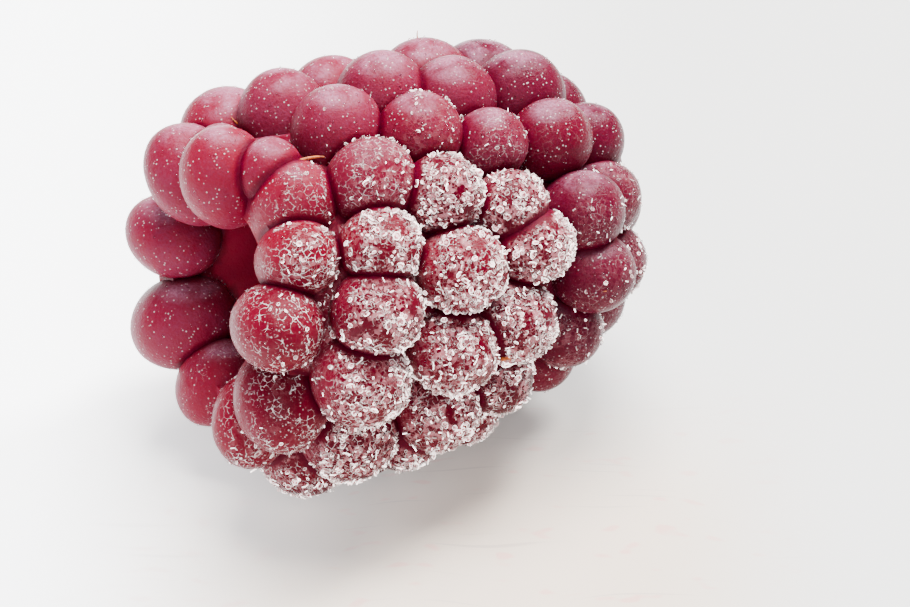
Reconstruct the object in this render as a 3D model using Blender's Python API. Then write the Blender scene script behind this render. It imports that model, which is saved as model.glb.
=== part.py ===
"""A raspberry picked off its stalk, lying on its side, with a crust of frost.

Metres, +Z up. The berry's axis runs along X: the open mouth of its hollow faces -X
and its tip points to +X and dips a little. The origin is on the surface that it rests
on, under the middle of the box round both pieces.

raspberry  one solid: the drupelets, joined round the hollow that the stalk left
frost      one solid: a thin crust with hexagonal crystals on the side facing -Y
"""
import math
import random
from collections import namedtuple

import bmesh
import bpy
from mathutils import Matrix, Vector

MM = 0.001
SEED = 41

# The berry as a whole, before it is set down.
AXIS_HEIGHT = 7.95 * MM
TIP_DIP = math.radians(7.0)
MIDDLE_STATION = 10.0 * MM

# Rings of drupelets, from the mouth to the tip. Lengths are in millimetres and angles in
# degrees. A station is measured along the axis from the mouth, and an angle round the
# axis from the side facing -Y, upwards. The drift turns a ring's far side so that its
# drupelets sit between the next ring's, the lean moves its top towards the tip, the rise
# lifts the whole ring off the axis, and the facing turns its drupelets from straight
# outwards towards the tip.
Ring = namedtuple("Ring", "station radius count start drift lean rise facing size")
RINGS = (
    Ring(1.5, 5.2, 11, 5.0, 0.0, 0.0, 0.0, -20.0, 1.74),
    Ring(4.4, 6.7, 14, -10.0, 0.0, 0.8, 0.0, -6.0, 1.74),
    Ring(7.8, 6.9, 14, -1.0, 4.0, 0.8, 0.0, 0.0, 1.76),
    Ring(11.2, 6.5, 14, -2.0, -8.0, 0.6, 0.1, 6.0, 1.72),
    Ring(14.5, 5.6, 12, -22.0, 0.0, 0.2, 0.5, 24.0, 1.72),
    Ring(17.1, 3.9, 9, -8.0, 0.0, 0.0, 0.8, 48.0, 1.68),
    Ring(18.6, 1.5, 4, 20.0, 0.0, 0.0, 0.8, 72.0, 1.55),
)
# Small drupelets that fill the wider gaps, each with its own place.
Filler = namedtuple("Filler", "station radius angle facing size")
FILLERS = (
    Filler(2.3, 6.0, 82.0, -16.0, 1.35),
    Filler(2.2, 5.6, 119.0, -20.0, 1.20),
    Filler(2.9, 5.9, -67.0, -16.0, 1.15),
    Filler(5.4, 6.5, -78.0, -4.0, 1.20),
)
# Drupelets that sit off their ring's rule: shift along the axis in millimetres, shift
# round it in degrees, and size against the ring's own. The key is (ring, number).
Shift = namedtuple("Shift", "along round size")
SHIFTS = {
    (0, 0): Shift(-0.7, 12.0, 1.06),
    (0, 1): Shift(0.6, 4.0, 0.95),
    (0, 2): Shift(1.5, -3.0, 1.0),
    (0, 3): Shift(-0.4, -6.0, 0.98),
    (0, 4): Shift(0.1, 1.0, 1.0),
    (0, 5): Shift(1.3, -9.0, 0.62),
    (0, 6): Shift(0.2, -20.0, 0.94),
    (0, 7): Shift(0.4, -12.0, 1.0),
    (0, 8): Shift(0.6, -11.0, 0.84),
    (0, 9): Shift(-0.1, 4.0, 0.86),
    (0, 10): Shift(-0.2, 3.0, 1.04),
    (1, 0): Shift(-0.4, 2.0, 1.12),
    (1, 1): Shift(-0.3, 2.0, 1.08),
    (1, 2): Shift(0.0, -3.0, 0.96),
    (1, 3): Shift(0.5, -3.0, 1.04),
    (1, 4): Shift(0.6, -4.0, 1.04),
    (1, 5): Shift(0.3, 2.0, 1.0),
    (1, 6): Shift(-0.7, -1.0, 1.04),
    (1, 7): Shift(-0.9, 0.0, 1.04),
    (1, 8): Shift(0.5, 0.0, 0.94),
    (1, 9): Shift(0.9, 0.0, 0.88),
    (1, 10): Shift(0.9, 0.0, 0.84),
    (1, 11): Shift(0.4, 0.0, 0.9),
    (1, 12): Shift(0.0, 0.0, 1.1),
    (1, 13): Shift(0.4, -5.0, 1.12),
    (2, 1): Shift(0.2, 2.0, 1.0),
    (2, 2): Shift(0.0, 2.0, 0.94),
    (2, 4): Shift(0.5, -1.0, 1.0),
    (2, 11): Shift(0.2, 4.0, 1.0),
    (2, 12): Shift(0.0, 3.0, 0.96),
    (2, 13): Shift(0.4, -3.0, 1.0),
    (3, 0): Shift(-0.4, 4.0, 1.08),
    (3, 1): Shift(0.4, 4.0, 1.0),
    (3, 2): Shift(-0.3, -5.0, 0.92),
    (3, 3): Shift(-0.3, -5.0, 0.86),
    (3, 5): Shift(0.3, 0.0, 1.08),
    (3, 6): Shift(0.4, 0.0, 1.08),
    (3, 10): Shift(0.0, 4.0, 1.0),
    (3, 11): Shift(0.1, 7.0, 1.0),
    (3, 12): Shift(-0.2, 6.0, 0.92),
    (3, 13): Shift(-0.3, 5.0, 0.92),
    (4, 0): Shift(0.2, 0.0, 0.9),
    (4, 1): Shift(0.7, -1.0, 1.0),
    (4, 2): Shift(0.4, -4.0, 1.0),
    (4, 4): Shift(0.2, 0.0, 1.08),
    (4, 5): Shift(0.4, -2.0, 1.16),
    (4, 6): Shift(0.2, -2.0, 1.08),
    (4, 9): Shift(-0.2, 4.0, 1.0),
    (4, 10): Shift(-0.3, 9.0, 0.94),
    (4, 11): Shift(-0.3, 10.0, 0.86),
}
LOOSE_ALONG = 0.18
LOOSE_ROUND = 1.8
LOOSE_SIZE = 0.04
# The drupelets grow from the side where they are smallest to the one opposite it.
SMALLEST_SIDE = math.radians(30.0)
FAR_GROWTH = 0.11

# A drupelet: its half width round the berry, along it and straight out, against its size.
LOBE_ROUND = 0.98
LOBE_ALONG = 1.04
LOBE_OUT = 1.06
RIM_LOBE_OUT = 1.24
LOBE_SUBDIVISIONS = 2

# The wall that joins the drupelets, as (station, radius) in millimetres: its outside and
# the hollow inside it, whose wall swells a little behind each drupelet.
WALL_OUTSIDE = (
    (1.2, 5.5), (3.2, 6.0), (6.0, 6.35), (9.0, 6.35),
    (12.0, 5.85), (14.6, 5.0), (16.9, 3.5), (18.4, 1.6), (18.8, 0.0),
)
WALL_HOLLOW = (
    (1.2, 4.3), (2.7, 4.45), (4.4, 4.35), (6.1, 4.2), (7.8, 3.95), (9.5, 3.6),
    (11.2, 3.0), (12.6, 2.1), (13.5, 1.1), (13.8, 0.0),
)
WALL_SIDES = 24
HOLLOW_SWELL = 0.4 * MM

# The frost: the drupelets that it covers, its gap to them, the least that it stands off
# them outside and how much more its rough surface may, how far it stays above the wall,
# so that the pits between drupelets are bare, and its lowest edge.
FROSTED = (
    (1, 3), (1, 2), (1, 1), (1, 0), (1, 13),
    (2, 2), (2, 1), (2, 0), (2, 13),
    (3, 2), (3, 1), (3, 0), (3, 13),
    (4, 1), (4, 0),
)
FROST_GAP = 0.25 * MM
FROST_OUTSIDE = 0.4 * MM
FROST_ROUGH = 0.2 * MM
FROST_ABOVE_WALL = 0.8 * MM
FROST_LOWEST = 0.25 * MM
CRYSTALS_EACH = 5
CRYSTAL_SIDES = 6
CRYSTAL_WIDTH = (0.2 * MM, 0.42 * MM)
CRYSTAL_LENGTH = (0.3 * MM, 1.1 * MM)
CRYSTAL_SPREAD = math.radians(58.0)
CRYSTAL_LEAN = 0.7
CRYSTAL_SUNK = 0.1 * MM

# The block that cuts off what reaches below a height, and how sharp an edge stays sharp.
FLOOR_BLOCK = 60 * MM
FLESH_CREASE = math.radians(50.0)
FROST_CREASE = math.radians(12.0)

FLESH_COLOUR = (0.36, 0.012, 0.055)
FLESH_ROUGHNESS = 0.42
ICE_COLOUR = (0.86, 0.74, 0.78)
ICE_ROUGHNESS = 0.25

AS_THE_RULE_SAYS = Shift(0.0, 0.0, 1.0)

Lobe = namedtuple("Lobe", "key centre frame half")


def clear_scene():
    """Remove every object that is already in the scene."""
    for item in list(bpy.data.objects):
        bpy.data.objects.remove(item, do_unlink=True)


def material(name, colour, roughness):
    """A Principled material in one colour."""
    made = bpy.data.materials.new(name)
    made.use_nodes = True
    shader = made.node_tree.nodes["Principled BSDF"]
    shader.inputs["Base Color"].default_value = (*colour, 1.0)
    shader.inputs["Roughness"].default_value = roughness
    shader.inputs["Metallic"].default_value = 0.0
    return made


def berry_place():
    """The matrix from the berry's own axes, mouth at the origin, to the world."""
    lift = Matrix.Translation((0.0, 0.0, AXIS_HEIGHT))
    dip = Matrix.Rotation(TIP_DIP, 4, "Y")
    return lift @ dip @ Matrix.Translation((-MIDDLE_STATION, 0.0, 0.0))


def round_the_axis(station, radius, angle):
    """A point at a station, a distance from the axis and an angle round it."""
    return Vector((station, -radius * math.cos(angle), radius * math.sin(angle)))


def lobe_from(key, centre, angle, facing, size, out):
    """A drupelet's axes and half widths, from its angle round the berry and its facing."""
    radial = round_the_axis(0.0, 1.0, angle)
    axis = Vector((1.0, 0.0, 0.0))
    outward = axis * math.sin(facing) + radial * math.cos(facing)
    along = axis * math.cos(facing) - radial * math.sin(facing)
    frame = Matrix((along.cross(outward), along, outward)).transposed()
    half = Vector((LOBE_ROUND, LOBE_ALONG, out)) * size
    return Lobe(key, centre, frame, half)


def ring_lobe(number_of_ring, number, draw):
    """One drupelet of a ring, where the ring's rule and its own shift put it."""
    ring = RINGS[number_of_ring]
    key = (number_of_ring, number)
    shift = SHIFTS.get(key, AS_THE_RULE_SAYS)
    even = math.radians(ring.start + 360.0 * number / ring.count)
    drift = ring.drift * (1.0 - math.cos(even)) / 2.0
    turn = drift + shift.round + draw.uniform(-LOOSE_ROUND, LOOSE_ROUND)
    angle = even + math.radians(turn)
    lean = ring.lean * math.sin(angle)
    station = ring.station + lean + shift.along + draw.uniform(-LOOSE_ALONG, LOOSE_ALONG)
    growth = 1.0 + FAR_GROWTH * (1.0 - math.cos(even - SMALLEST_SIDE)) / 2.0
    size = ring.size * shift.size * growth * (1.0 + draw.uniform(-LOOSE_SIZE, LOOSE_SIZE))
    centre = round_the_axis(station * MM, ring.radius * MM, angle) + Vector((0.0, 0.0, ring.rise * MM))
    out = RIM_LOBE_OUT if number_of_ring == 0 else LOBE_OUT
    return lobe_from(key, centre, angle, math.radians(ring.facing), size * MM, out)


def filler_lobe(number):
    """One of the small drupelets between the rings."""
    filler = FILLERS[number]
    key = (len(RINGS), number)
    angle = math.radians(filler.angle)
    centre = round_the_axis(filler.station * MM, filler.radius * MM, angle)
    return lobe_from(key, centre, angle, math.radians(filler.facing), filler.size * MM, LOBE_OUT)


def all_lobes():
    """Every drupelet, ring by ring, with small seeded irregularities, then the fillers."""
    draw = random.Random(SEED)
    lobes = [ring_lobe(k, i, draw) for k, ring in enumerate(RINGS) for i in range(ring.count)]
    return lobes + [filler_lobe(i) for i in range(len(FILLERS))]


def lobe_mesh(lobe, swell=0.0, rough=0.0, draw=None):
    """A drupelet as a closed faceted egg, swollen by a distance and roughened by a draw."""
    shape = bmesh.new()
    bmesh.ops.create_icosphere(shape, subdivisions=LOBE_SUBDIVISIONS, radius=1.0)
    for vertex in shape.verts:
        push = swell + (rough * draw.random() if draw else 0.0)
        vertex.co = Vector([c * (h + push) for c, h in zip(vertex.co, lobe.half)])
    shape.transform(Matrix.Translation(lobe.centre) @ lobe.frame.to_4x4())
    return shape


def turned_rows(shape, profile, swell, wave):
    """The points of a turned profile: full rings, then one point on the axis."""
    rows = []
    for row, (station, radius) in enumerate(profile[:-1]):
        ring = []
        for i in range(WALL_SIDES):
            angle = 2.0 * math.pi * (i + 0.5 * row) / WALL_SIDES
            reach = radius * MM + swell + (wave if i % 2 else -wave) * min(1.0, row)
            ring.append(shape.verts.new(round_the_axis(station * MM, reach, angle)))
        rows.append(ring)
    station = profile[-1][0]
    pole = shape.verts.new((station * MM + swell, 0.0, 0.0))
    return rows, pole


def close_turned(shape, rows, pole):
    """Faces along a turned profile and round its pole."""
    for row in range(len(rows) - 1):
        for i in range(WALL_SIDES):
            j = (i + 1) % WALL_SIDES
            shape.faces.new((rows[row][i], rows[row][j], rows[row + 1][i]))
            shape.faces.new((rows[row][j], rows[row + 1][j], rows[row + 1][i]))
    last = rows[-1]
    for i in range(WALL_SIDES):
        shape.faces.new((last[i], last[(i + 1) % WALL_SIDES], pole))


def wall_mesh():
    """The cup that joins the drupelets: its outside, its hollow and its rim."""
    shape = bmesh.new()
    outside, outer_pole = turned_rows(shape, WALL_OUTSIDE, 0.0, 0.0)
    hollow, inner_pole = turned_rows(shape, WALL_HOLLOW, 0.0, HOLLOW_SWELL / 2.0)
    close_turned(shape, outside, outer_pole)
    close_turned(shape, hollow, inner_pole)
    for i in range(WALL_SIDES):
        j = (i + 1) % WALL_SIDES
        shape.faces.new((outside[0][i], outside[0][j], hollow[0][j], hollow[0][i]))
    bmesh.ops.recalc_face_normals(shape, faces=shape.faces)
    return shape


def filled_wall_mesh(swell):
    """The same cup without its hollow, swollen by a distance, to cut the frost with."""
    shape = bmesh.new()
    rows, pole = turned_rows(shape, WALL_OUTSIDE, swell, 0.0)
    mouth = shape.verts.new((WALL_OUTSIDE[0][0] * MM, 0.0, 0.0))
    close_turned(shape, rows, pole)
    for i in range(WALL_SIDES):
        shape.faces.new((rows[0][i], rows[0][(i + 1) % WALL_SIDES], mouth))
    bmesh.ops.recalc_face_normals(shape, faces=shape.faces)
    return shape


def floor_mesh(height):
    """A block whose top is at a height, to cut away what reaches below it."""
    shape = bmesh.new()
    bmesh.ops.create_cube(shape, size=FLOOR_BLOCK)
    shape.transform(Matrix.Translation((0.0, 0.0, height - FLOOR_BLOCK / 2.0)))
    return shape


def crystal_mesh(lobe, draw):
    """A hexagonal plate or column of ice, standing on the frost over one drupelet."""
    fall = CRYSTAL_SPREAD * math.sqrt(draw.random())
    turn = draw.uniform(0.0, 2.0 * math.pi)
    side = math.sin(fall)
    normal = Vector((side * math.cos(turn), side * math.sin(turn), math.cos(fall)))
    crust = Vector([n * (h + FROST_OUTSIDE) for n, h in zip(normal, lobe.half)])
    foot = crust - normal * CRYSTAL_SUNK
    width = draw.uniform(*CRYSTAL_WIDTH)
    length = draw.uniform(*CRYSTAL_LENGTH)
    tip = normal + Vector([draw.uniform(-CRYSTAL_LEAN, CRYSTAL_LEAN) for _ in range(3)])
    aim = tip.to_track_quat("Z", "Y").to_matrix().to_4x4()
    shape = bmesh.new()
    bmesh.ops.create_cone(
        shape, cap_ends=True, cap_tris=False, segments=CRYSTAL_SIDES,
        radius1=width, radius2=width, depth=length,
    )
    place = Matrix.Translation(lobe.centre) @ lobe.frame.to_4x4()
    shape.transform(place @ Matrix.Translation(foot) @ aim)
    return shape


def add_object(name, shape, place=None):
    """An object in the scene from a bmesh, which is freed."""
    if place is not None:
        shape.transform(place)
    bmesh.ops.triangulate(shape, faces=shape.faces)
    mesh = bpy.data.meshes.new(name)
    shape.to_mesh(mesh)
    shape.free()
    made = bpy.data.objects.new(name, mesh)
    bpy.context.scene.collection.objects.link(made)
    return made


def combine(base, tools, operation):
    """Unite a base with its tools, or cut them from it, and remove the tools."""
    group = bpy.data.collections.new(base.name + "_tools")
    bpy.context.scene.collection.children.link(group)
    for tool in tools:
        bpy.context.scene.collection.objects.unlink(tool)
        group.objects.link(tool)
    change = base.modifiers.new(operation.lower(), "BOOLEAN")
    change.operation = operation
    change.operand_type = "COLLECTION"
    change.collection = group
    change.solver = "EXACT"
    joined = bpy.data.meshes.new_from_object(base.evaluated_get(bpy.context.evaluated_depsgraph_get()))
    base.modifiers.clear()
    base.data = joined
    for tool in list(group.objects):
        bpy.data.objects.remove(tool, do_unlink=True)
    bpy.data.collections.remove(group)


def island_volume(faces):
    """The signed volume inside a set of triangles."""
    total = 0.0
    for face in faces:
        a, b, c = (vertex.co for vertex in face.verts)
        total += a.dot(b.cross(c)) / 6.0
    return total


def islands(shape):
    """The faces of a bmesh, grouped by the body that they belong to."""
    left = set(shape.faces)
    groups = []
    while left:
        group = set()
        edge = [left.pop()]
        while edge:
            face = edge.pop()
            group.add(face)
            for side in face.edges:
                for near in side.link_faces:
                    if near in left:
                        left.remove(near)
                        edge.append(near)
        groups.append(group)
    return groups


def keep_main_body(item):
    """Keep the largest body: loose scraps are dropped and sealed hollows filled."""
    shape = bmesh.new()
    shape.from_mesh(item.data)
    bmesh.ops.triangulate(shape, faces=shape.faces)
    groups = sorted(islands(shape), key=island_volume)
    scraps = [face for group in groups[:-1] for face in group]
    bmesh.ops.delete(shape, geom=scraps, context="FACES")
    loose = [vertex for vertex in shape.verts if not vertex.link_faces]
    bmesh.ops.delete(shape, geom=loose, context="VERTS")
    shape.to_mesh(item.data)
    shape.free()


def finish(item, name, finish_material, crease):
    """Name an object and its mesh, give it its material and shade it smooth but for creases."""
    item.name = name
    item.data.name = name
    item.data.materials.clear()
    item.data.materials.append(finish_material)
    item.data.shade_smooth()
    item.data.set_sharp_from_angle(angle=crease)


def make_raspberry(lobes):
    """The berry: the wall round its hollow, every drupelet, and its flat underside."""
    place = berry_place()
    berry = add_object("raspberry", wall_mesh(), place)
    drupelets = [add_object("drupelet", lobe_mesh(lobe), place) for lobe in lobes]
    combine(berry, drupelets, "UNION")
    combine(berry, [add_object("floor", floor_mesh(0.0))], "DIFFERENCE")
    keep_main_body(berry)
    finish(berry, "raspberry", material("raspberry_flesh", FLESH_COLOUR, FLESH_ROUGHNESS), FLESH_CREASE)
    return berry


def make_frost(lobes):
    """The frost: a crust over the cold side's drupelets, with crystals standing on it."""
    place = berry_place()
    draw = random.Random(SEED + 1)
    covered = [lobe for lobe in lobes if lobe.key in FROSTED]
    pieces = []
    for lobe in covered:
        crust = lobe_mesh(lobe, FROST_OUTSIDE, FROST_ROUGH, draw)
        pieces.append(add_object("crust", crust, place))
    for lobe in covered:
        pieces += [add_object("crystal", crystal_mesh(lobe, draw), place) for _ in range(CRYSTALS_EACH)]
    frost = pieces[0]
    combine(frost, pieces[1:], "UNION")
    cutters = [add_object("drupelet", lobe_mesh(lobe, FROST_GAP), place) for lobe in lobes]
    cutters.append(add_object("wall", filled_wall_mesh(FROST_ABOVE_WALL), place))
    cutters.append(add_object("floor", floor_mesh(FROST_LOWEST)))
    combine(frost, cutters, "DIFFERENCE")
    keep_main_body(frost)
    finish(frost, "frost", material("ice_crystals", ICE_COLOUR, ICE_ROUGHNESS), FROST_CREASE)
    return frost


def centre_over_origin(pieces):
    """Move the pieces together so that their common box is centred over the origin."""
    points = [vertex.co for piece in pieces for vertex in piece.data.vertices]
    middle_x = (min(p.x for p in points) + max(p.x for p in points)) / 2.0
    middle_y = (min(p.y for p in points) + max(p.y for p in points)) / 2.0
    for piece in pieces:
        piece.data.transform(Matrix.Translation((-middle_x, -middle_y, 0.0)))


def main():
    """Build the berry and its frost."""
    clear_scene()
    lobes = all_lobes()
    berry = make_raspberry(lobes)
    frost = make_frost(lobes)
    centre_over_origin([berry, frost])


main()
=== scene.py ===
"""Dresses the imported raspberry: fine flesh, the ice on it, dried styles, light and camera.

The drupelets stand where the solids' own ring rule puts them, with finer faces. They are
fused by Geometry Nodes with the wall round the hollow, and each point of the flesh then
learns how near a crease it is, how much bloom it carries and how much ice. The ice grows
from that: plates, columns and grains, scattered by Geometry Nodes over the same flesh.

Metres, +Z up, with the berry's mouth towards -X, its tip towards +X and its frosted side
towards -Y, as in the frame.
"""

import logging
import math
import random
from dataclasses import dataclass, field
from enum import Enum
from typing import Any, Callable, Optional, Sequence, Union

import bmesh
import bpy
import numpy as np
from mathutils import Matrix, Quaternion, Vector
from mathutils.bvhtree import BVHTree


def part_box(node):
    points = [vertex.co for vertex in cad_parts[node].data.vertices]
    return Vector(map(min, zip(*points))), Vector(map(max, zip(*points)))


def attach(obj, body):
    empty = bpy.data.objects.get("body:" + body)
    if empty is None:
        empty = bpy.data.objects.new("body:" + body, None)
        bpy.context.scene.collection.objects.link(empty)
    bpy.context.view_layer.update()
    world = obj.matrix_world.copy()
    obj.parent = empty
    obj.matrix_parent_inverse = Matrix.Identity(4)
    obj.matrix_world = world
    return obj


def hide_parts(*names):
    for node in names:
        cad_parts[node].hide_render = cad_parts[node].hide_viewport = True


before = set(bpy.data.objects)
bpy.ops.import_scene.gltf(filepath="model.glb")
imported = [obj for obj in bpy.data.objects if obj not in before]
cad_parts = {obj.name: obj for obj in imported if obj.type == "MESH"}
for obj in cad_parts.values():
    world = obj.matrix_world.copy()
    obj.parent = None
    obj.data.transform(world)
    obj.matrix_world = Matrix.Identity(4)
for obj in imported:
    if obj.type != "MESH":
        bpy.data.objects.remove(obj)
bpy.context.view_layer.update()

LOG = logging.getLogger("raspberry")
MM = 0.001
BODY = "root"
Colour = tuple[float, float, float]


# Small tools for shader trees and geometry trees

def reckoner(operation: str, flipped: bool = False) -> Callable[["Signal", "Value"], "Signal"]:
    """An operator of signals: a Math node on the two, the other way round if it is flipped."""
    def operator(one: "Signal", other: "Value") -> "Signal":
        """The node's result."""
        return one.reckon(operation, *((other, one) if flipped else (one, other)))

    return operator


class Signal:
    """A number that varies over a surface: an output socket that can be reckoned with."""

    def __init__(self, tree: "Tree", socket: bpy.types.NodeSocket) -> None:
        """Wrap a socket of a tree."""
        self.tree = tree
        self.socket = socket

    __add__, __radd__ = reckoner("ADD"), reckoner("ADD", flipped=True)
    __sub__, __rsub__ = reckoner("SUBTRACT"), reckoner("SUBTRACT", flipped=True)
    __mul__, __rmul__ = reckoner("MULTIPLY"), reckoner("MULTIPLY", flipped=True)
    __pow__, __rtruediv__ = reckoner("POWER"), reckoner("DIVIDE", flipped=True)

    def reckon(self, operation: str, first: "Value", second: "Value", clamp: bool = False) -> "Signal":
        """The result of a Math node, kept between 0 and 1 if it clamps."""
        return self.tree.value("ShaderNodeMath", {0: first, 1: second}, operation=operation, use_clamp=clamp)

    def clamped(self) -> "Signal":
        """The same number, kept between 0 and 1."""
        return self.reckon("ADD", self, 0.0, clamp=True)

    def rise(self, low: float, high: float) -> "Signal":
        """A smooth step.

        Args:
            low: Where it is 0.
            high: Where it is 1. It may be less than low, for a step down.

        Returns:
            The step, between 0 and 1.
        """
        inputs = {"Value": self, "From Min": min(low, high), "From Max": max(low, high)}
        step = self.tree.value("ShaderNodeMapRange", inputs, interpolation_type="SMOOTHSTEP")
        return 1.0 - step if high < low else step


Value = Union[float, int, bool, str, Sequence[float], bpy.types.NodeSocket, bpy.types.ID, Signal]
Inputs = dict[Union[str, int], Value]


def socket_named(sockets: Sequence[bpy.types.NodeSocket], key: Union[str, int]) -> bpy.types.NodeSocket:
    """Find a node's socket.

    Args:
        sockets: The node's inputs or outputs.
        key: A position in them, or a socket's identifier or name.

    Returns:
        The socket, and of several with that name the one that is in use.
    """
    if isinstance(key, int):
        return sockets[key]
    used = [socket for socket in sockets if socket.enabled]
    found = [one for one in used if one.identifier == key] or [one for one in used if one.name == key]
    return found[0]


class Tree:
    """A node tree that is built by name: a kind of node, its inputs and its settings."""

    def __init__(self, nodes: bpy.types.NodeTree) -> None:
        """Wrap a node tree."""
        self.nodes = nodes

    def plug(self, socket: bpy.types.NodeSocket, value: Value) -> None:
        """Link a socket to another, or set it to a plain value, number or colour."""
        source = value.socket if isinstance(value, Signal) else value
        if isinstance(source, bpy.types.NodeSocket):
            self.nodes.links.new(source, socket)
        else:
            socket.default_value = (*source, 1.0) if socket.type == "RGBA" else source

    def node(self, kind: str, inputs: Optional[Inputs] = None, **settings: Any) -> bpy.types.Node:
        """Add a node.

        Args:
            kind: The node's type.
            inputs: Values or links for its sockets, by position, identifier or name.
            settings: Its own settings, which are set first.

        Returns:
            The node.
        """
        made = self.nodes.nodes.new(kind)
        for name, setting in settings.items():
            setattr(made, name, setting)
        for key, value in (inputs or {}).items():
            self.plug(socket_named(made.inputs, key), value)
        return made

    def out(
        self, kind: str, inputs: Optional[Inputs] = None, output: Union[str, int] = 0, **settings: Any
    ) -> bpy.types.NodeSocket:
        """One output of a new node, which is the first unless another is named."""
        return socket_named(self.node(kind, inputs, **settings).outputs, output)

    def value(
        self, kind: str, inputs: Optional[Inputs] = None, output: Union[str, int] = 0, **settings: Any
    ) -> Signal:
        """One output of a new node, as a number to reckon with."""
        return Signal(self, self.out(kind, inputs, output, **settings))

    def vector(self, x: Value = 0.0, y: Value = 0.0, z: Value = 0.0) -> bpy.types.NodeSocket:
        """A vector from its three parts."""
        return self.out("ShaderNodeCombineXYZ", {"X": x, "Y": y, "Z": z})

    def parts(self, vector: bpy.types.NodeSocket) -> list[Signal]:
        """The three parts of a vector."""
        return [Signal(self, part) for part in self.node("ShaderNodeSeparateXYZ", {"Vector": vector}).outputs]

    def scaled(self, vector: bpy.types.NodeSocket, scale: Value) -> bpy.types.NodeSocket:
        """A vector, made longer or shorter."""
        return self.out("ShaderNodeVectorMath", {0: vector, "Scale": scale}, operation="SCALE")


class Shader(Tree):
    """A material's tree: a Principled shader and what feeds it."""

    def __init__(self, name: str) -> None:
        """Start a material with only a Principled shader in it."""
        self.material = bpy.data.materials.new(name)
        self.material.use_nodes = True
        super().__init__(self.material.node_tree)
        self.surface = self.nodes.nodes["Principled BSDF"]
        self.place = self.out("ShaderNodeTexCoord", output="Object")

    def attribute(self, name: str) -> Signal:
        """A number that the mesh carries, by its name."""
        return self.value("ShaderNodeAttribute", output="Fac", attribute_name=name)

    def noise(self, size: float, detail: float = 2.0, roughness: float = 0.5) -> Signal:
        """Soft noise about 0.5, by its width in metres, its finer layers and their strength."""
        inputs = {"Vector": self.place, "Scale": 1.0 / size, "Detail": detail, "Roughness": roughness}
        return self.value("ShaderNodeTexNoise", inputs)

    def cells(self, size: float, feature: str, wobble: float = 0.0, output: str = "Distance") -> Signal:
        """A pattern of cells in space.

        Args:
            size: The width of a cell, in metres.
            feature: F1 for the distance to a cell's middle, DISTANCE_TO_EDGE for its edge.
            wobble: How far noise pulls the pattern about, as a share of a cell.
            output: Distance, or Color for a random number that is the same all over a cell.

        Returns:
            The distance, as a share of a cell, or the random number.
        """
        spread = {"Vector": self.place, "Scale": 1.0 / size, "Detail": 2.0}
        moved = {0: self.out("ShaderNodeTexNoise", spread, "Color"), 1: (wobble * size,) * 3, 2: self.place}
        place = self.out("ShaderNodeVectorMath", moved, operation="MULTIPLY_ADD")
        inputs = {"Vector": place, "Scale": 1.0 / size}
        pattern = self.value("ShaderNodeTexVoronoi", inputs, output, feature=feature)
        return pattern if output == "Distance" else self.value("ShaderNodeSeparateColor", {"Color": pattern})

    def streaks(self, along: Signal, length: float, aside: Signal, width: float) -> Signal:
        """Noise about 0.5, drawn out to a length along one direction and a width across it."""
        place = self.vector(along * (1.0 / length), aside * (1.0 / width))
        return self.value("ShaderNodeTexNoise", {"Vector": place, "Scale": 1.0, "Detail": 1.0})

    def along(self, direction: Vector) -> Signal:
        """How far a point lies along a direction, in metres."""
        inputs = {0: self.place, 1: direction}
        return self.value("ShaderNodeVectorMath", inputs, "Value", operation="DOT_PRODUCT")

    def mix(self, share: Value, under: Value, over: Value) -> bpy.types.NodeSocket:
        """One colour over another, by how much of the upper one shows."""
        inputs = {"Factor_Float": share, "A_Color": under, "B_Color": over}
        return self.out("ShaderNodeMix", inputs, "Result_Color", data_type="RGBA", clamp_factor=True)

    def relief(self, height: Signal, depth: float, strength: float) -> bpy.types.NodeSocket:
        """The normal of a relief from 0 to 1, by its depth in metres and how much it shows."""
        return self.out("ShaderNodeBump", {"Height": height, "Distance": depth, "Strength": strength})

    def finish(self, inputs: dict[str, Value]) -> bpy.types.Material:
        """Set or link the Principled shader's own sockets and return the material."""
        for name, value in inputs.items():
            self.plug(self.surface.inputs[name], value)
        return self.material


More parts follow.
